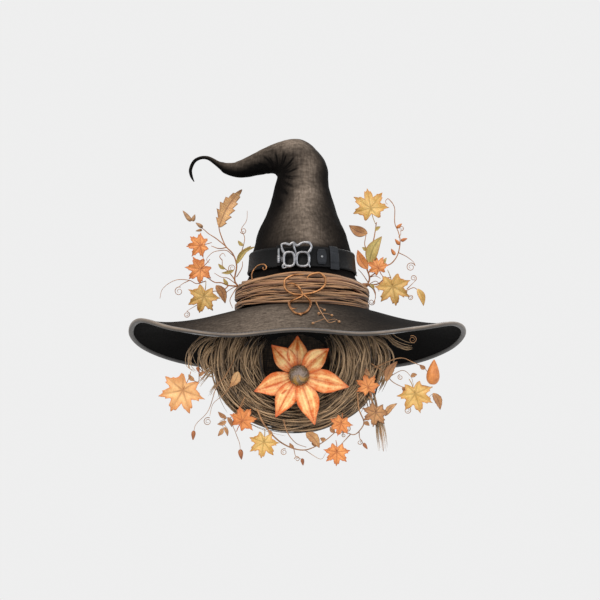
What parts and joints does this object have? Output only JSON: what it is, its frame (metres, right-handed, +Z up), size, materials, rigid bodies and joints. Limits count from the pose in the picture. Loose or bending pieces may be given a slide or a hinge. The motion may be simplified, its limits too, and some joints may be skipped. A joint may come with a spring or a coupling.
{
  "type": "witch hat",
  "caption": "Pointed felt hat with a folded peak, wired drooping brim, twig and belt band, leaf sprays and a hanging straw nest with a flower.",
  "frame": {"origin": "centre of the head opening at the top of the brim, where the crown stands", "axes": "+Z up through the crown, -Y to the front where the buckle and flower are, +X to the viewer's right as seen from the front"},
  "size_m": [0.5082, 0.405, 0.5068],
  "materials": {
    "felt_black": "matte",
    "ribbon_edge": "matte",
    "steel_wire": "satin",
    "sweatband_leather": "satin",
    "twig_wood": "matte",
    "belt_leather": "satin",
    "buckle_silver": "satin",
    "copper_wire": "satin",
    "stem_wire": "satin",
    "leaf_orange": "matte",
    "leaf_yellow": "matte",
    "leaf_brown": "matte",
    "leaf_green": "matte",
    "bud_wood": "matte",
    "straw": "matte",
    "burlap": "matte",
    "petal_silk": "satin",
    "seed_head": "matte"
  },
  "bodies": {
    "root": {"crown": "felt_black", "fold_gore": "felt_black", "crown_wire": "steel_wire", "brim": "felt_black", "brim_binding": "ribbon_edge", "brim_wire": "steel_wire", "sweatband": "sweatband_leather", "twig_wrap_lower": "twig_wood", "twig_wrap_upper": "twig_wood", "belt": "belt_leather", "belt_tab": "belt_leather", "tab_rivet": "buckle_silver", "buckle_bar": "buckle_silver", "buckle_chape": "belt_leather", "scroll_wire": "copper_wire", "sprig": "copper_wire", "spray_sockets": "stem_wire", "hanger_eyelets": "steel_wire"},
    "peak": {"peak": "felt_black", "peak_wire": "steel_wire", "tip_gore": "felt_black"},
    "tip": {"tip": "felt_black", "tip_wire": "steel_wire"},
    "buckle": {"buckle_frame": "buckle_silver"},
    "keeper": {"belt_keeper": "belt_leather"},
    "left_spray": {"left_spray_stem": "stem_wire", "left_spray_tendrils": "copper_wire", "left_leaf_tall": "leaf_brown", "left_leaf_orange": "leaf_orange", "left_maple_orange": "leaf_orange", "left_maple_yellow": "leaf_yellow", "left_leaf_brown": "leaf_brown", "left_buds": "bud_wood"},
    "right_spray": {"right_spray_stem": "stem_wire", "right_spray_tendrils": "copper_wire", "right_maple_top": "leaf_yellow", "right_leaf_curled": "leaf_brown", "right_leaf_pointed": "leaf_green", "right_leaves_orange": "leaf_orange", "right_maple_big": "leaf_yellow", "right_buds": "bud_wood"},
    "garland": {"hanger_bar": "steel_wire", "hoop": "steel_wire", "straw_left": "straw", "straw_right": "straw", "backing_disc": "burlap", "garland_vine": "stem_wire", "garland_leaves_left": "leaf_orange", "garland_leaves_bottom": "leaf_yellow", "garland_leaves_right": "leaf_brown", "garland_buds": "bud_wood", "flower_pin": "steel_wire"},
    "flower": {"flower_heart": "seed_head", "petal_1": "petal_silk", "petal_2": "petal_silk", "petal_3": "petal_silk", "petal_4": "petal_silk", "petal_5": "petal_silk", "petal_6": "petal_silk", "petal_7": "petal_silk"}
  },
  "joints": [
    {"name": "peak_fold", "type": "hinge", "parent": "root", "child": "peak", "pos_m": [-0.0075, 0, 0.23], "axis": [0, 1, 0], "range_deg": [-6, 25], "deforming": ["fold_gore"]},
    {"name": "tip_curl", "type": "hinge", "parent": "peak", "child": "tip", "pos_m": [-0.1224, 0, 0.2258], "axis": [0, 1, 0], "range_deg": [-20, 25], "deforming": ["tip_gore"]},
    {"name": "buckle_swing", "type": "hinge", "parent": "root", "child": "buckle", "pos_m": [-0.0345, -0.0861, 0.0735], "axis": [0, 0, -1], "range_deg": [0, 45]},
    {"name": "keeper_slide", "type": "hinge", "parent": "root", "child": "keeper", "pos_m": [0, 0, 0.0735], "axis": [0, 0, 1], "range_deg": [-3, 12]},
    {"name": "left_spray_swivel", "type": "hinge", "parent": "root", "child": "left_spray", "pos_m": [-0.095, 0.035, 0.046], "axis": [1, 0, 0], "range_deg": [-15, 15]},
    {"name": "right_spray_swivel", "type": "hinge", "parent": "root", "child": "right_spray", "pos_m": [0.098, 0.025, 0.046], "axis": [1, 0, 0], "range_deg": [-15, 15]},
    {"name": "garland_swing", "type": "hinge", "parent": "root", "child": "garland", "pos_m": [-0.009, -0.119, -0.027], "axis": [1, 0, 0], "range_deg": [-14, 4]},
    {"name": "flower_turn", "type": "hinge", "parent": "garland", "child": "flower", "pos_m": [-0.0045, -0.135, -0.11], "axis": [0, 1, 0], "range_deg": [-20, 20]}
  ]
}
